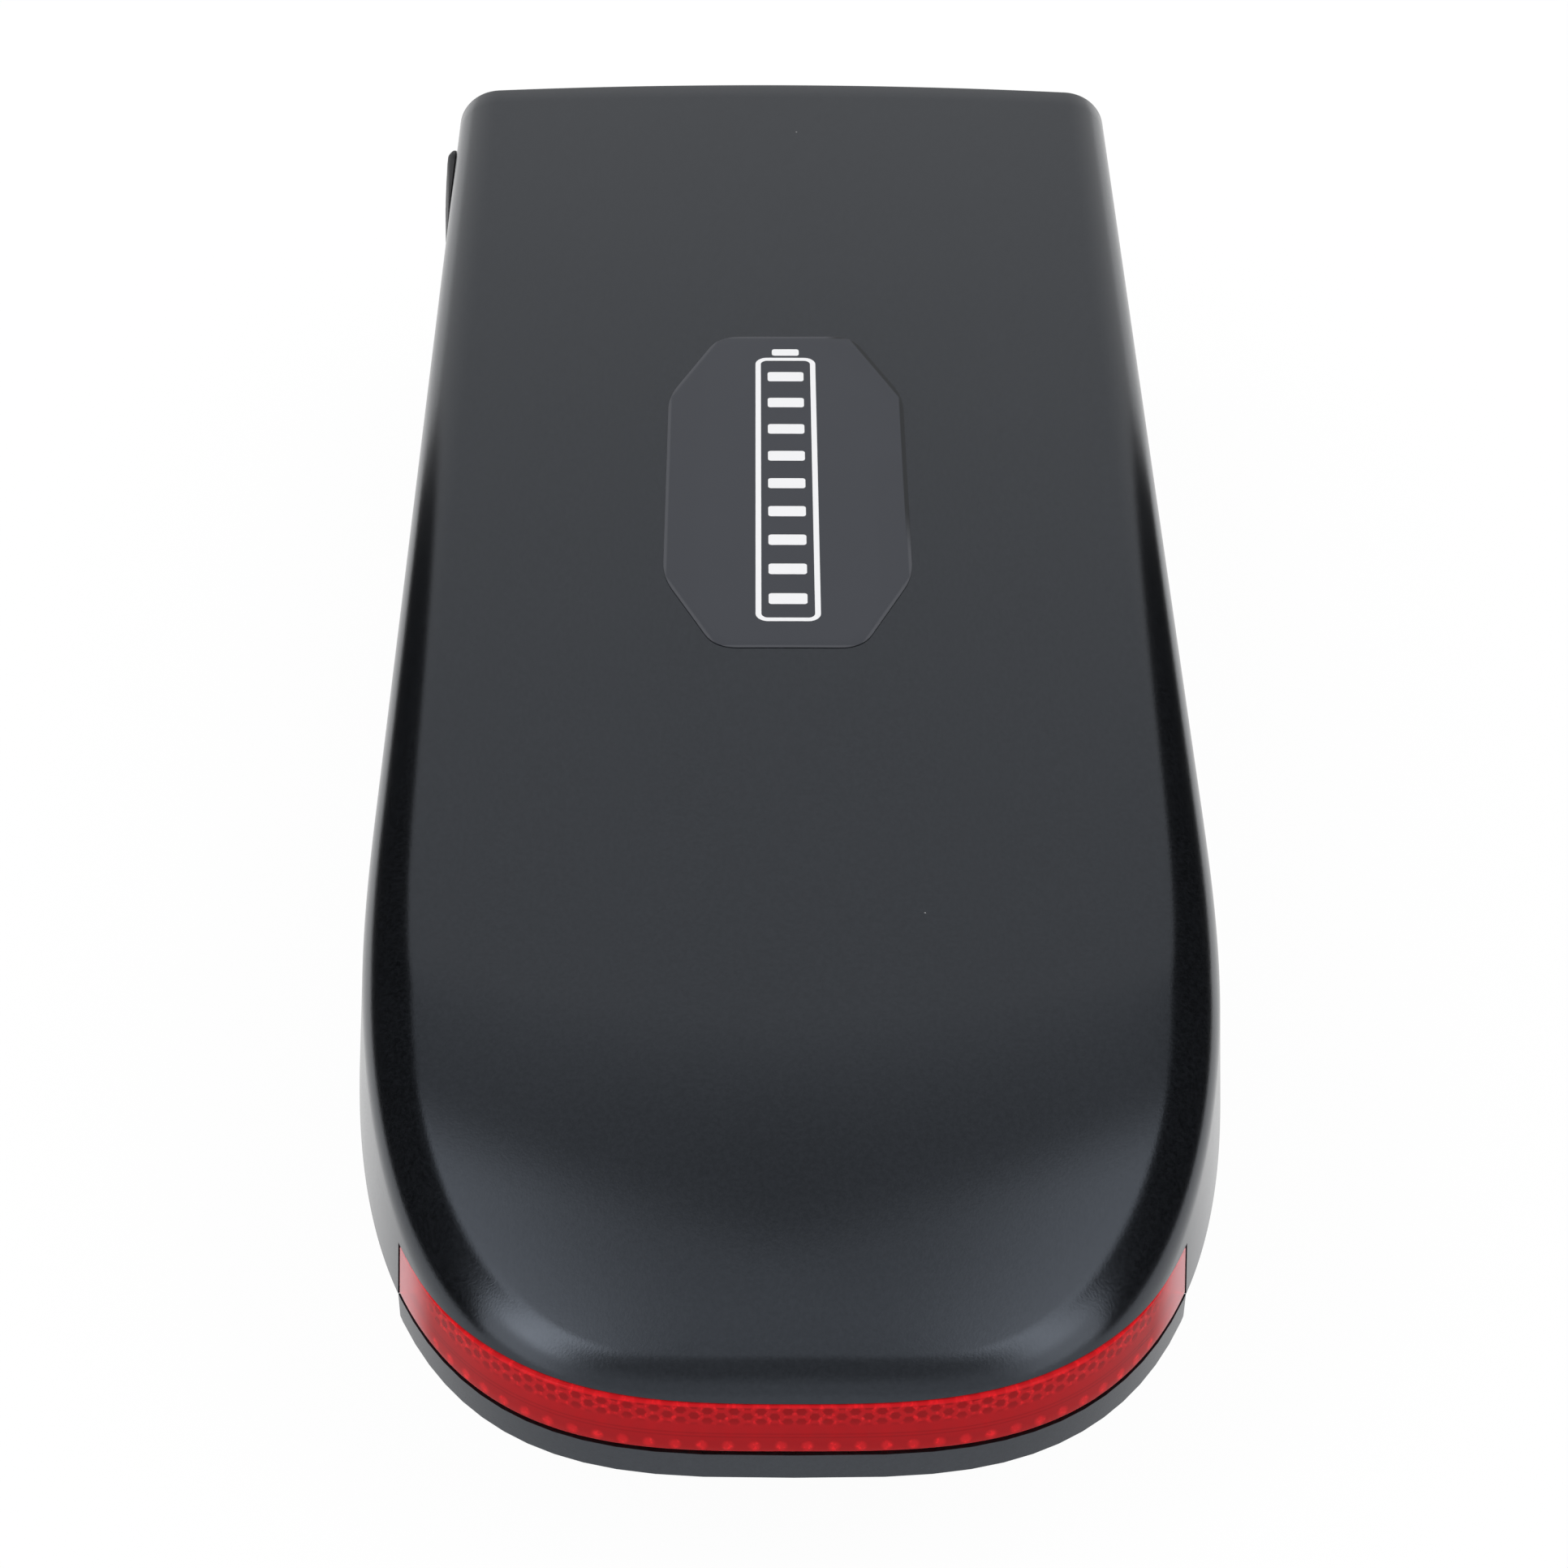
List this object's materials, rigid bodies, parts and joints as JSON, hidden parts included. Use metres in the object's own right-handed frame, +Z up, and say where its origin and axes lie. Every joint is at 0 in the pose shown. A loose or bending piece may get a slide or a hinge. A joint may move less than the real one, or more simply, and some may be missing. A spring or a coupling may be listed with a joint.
{
  "type": "e-bike rack battery",
  "caption": "Flat rear-rack battery case for an electric bicycle, with a rounded sloping tail, red wrap-round tail lens, charge port, key lock and slide rails.",
  "frame": {"origin": "on the flat base face, on the middle plane, half way between the front face and the tail", "axes": "+Z up; +Y towards the front face with the discharge connector; the tail lamp is at -Y; +X is the side with the key lock"},
  "size_m": [0.1565, 0.378, 0.0783],
  "materials": {
    "cover_black": "satin moulded, fine grain",
    "case_black": "matt moulded",
    "seal_rubber": "matt",
    "lens_red": "clear gloss",
    "reflector_silver": "metallised",
    "housing_grey": "matt",
    "board_white": "solder mask",
    "led_yellow": "gloss",
    "lead_black": "satin",
    "lead_red": "satin",
    "lead_white": "satin",
    "lead_yellow": "satin",
    "label_grey": "printed film",
    "contact_brass": "plated",
    "nickel": "bright",
    "lock_zinc": "satin chrome",
    "steel": "zinc plated",
    "guide_plastic": "matt",
    "button_black": "satin",
    "window_clear": "frosted",
    "board_green": "solder mask",
    "cell_wrap": "shrink wrap",
    "holder_grey": "matt",
    "insulation": "pressed board",
    "foam": "closed-cell foam",
    "transistor_black": "gloss",
    "aluminium": "extruded",
    "parts_cream": "matt",
    "fuse_amber": "gloss",
    "screw_black": "black zinc"
  },
  "bodies": {
    "case": {"top_cover": "cover_black", "bottom_case": "case_black", "case_gasket": "seal_rubber", "tail_lens": "lens_red", "reflex_insert": "reflector_silver", "lamp_housing": "housing_grey", "lamp_board": "board_white", "lamp_leds": "led_yellow", "lamp_lead": "lead_black", "label_plate": "label_grey", "charge_socket": "case_black", "charge_contacts": "contact_brass", "charge_nut": "steel", "charge_leads": "lead_red", "lock_barrel": "lock_zinc", "lock_nut": "steel", "bolt_guide": "guide_plastic", "tact_switch": "transistor_black", "gauge_window": "window_clear", "gauge_board": "board_green", "gauge_leds": "led_yellow", "gauge_lead": "lead_white", "discharge_connector": "case_black", "discharge_contacts": "contact_brass", "discharge_leads": "lead_red", "cell_row_1": "cell_wrap", "cell_row_2": "cell_wrap", "cell_row_3": "cell_wrap", "cell_row_4": "cell_wrap", "cell_row_5": "cell_wrap", "cell_row_6": "cell_wrap", "cell_row_7": "cell_wrap", "cell_row_8": "cell_wrap", "cell_row_9": "cell_wrap", "cell_row_10": "cell_wrap", "lower_cell_holder": "holder_grey", "upper_cell_holder": "holder_grey", "lower_strips": "nickel", "upper_strips": "nickel", "insulation_sheets": "insulation", "foam_pads": "foam", "bms_board": "board_green", "bms_transistors": "transistor_black", "bms_heatsink": "aluminium", "bms_parts": "parts_cream", "pack_leads": "lead_black", "balance_leads": "lead_yellow", "temperature_sensor": "lead_black", "fuse_holder": "transistor_black", "blade_fuse": "fuse_amber", "left_rail": "case_black", "right_rail": "case_black", "rail_screws": "steel", "board_screws": "steel", "case_screws": "screw_black"},
    "cap": {"charge_cap": "seal_rubber"},
    "key": {"key_rotor": "lock_zinc", "lock_cam": "contact_brass"},
    "bolt": {"lock_bolt": "steel"},
    "button": {"power_button": "button_black"}
  },
  "joints": [
    {"name": "cap_swing", "type": "hinge", "parent": "case", "child": "cap", "pos_m": [-0.07652, 0.17, 0.06608], "axis": [0, 1, 0], "range_deg": [0, 110]},
    {"name": "key_turn", "type": "hinge", "parent": "case", "child": "key", "pos_m": [0.0622, 0.125, 0.0205], "axis": [-1, 0, 0], "range_deg": [0, 90]},
    {"name": "bolt_slide", "type": "slide", "parent": "case", "child": "bolt", "axis": [0, 0, -1], "range_m": [0, 0.008]},
    {"name": "button_press", "type": "slide", "parent": "case", "child": "button", "axis": [-0.9962, 0, -0.0872], "range_m": [0, 0.0008], "stiffness_N_per_m": 1500}
  ],
  "couplings": [
    {"joint": "key_turn", "follows": "bolt_slide", "rad_per_m": 196.34}
  ]
}
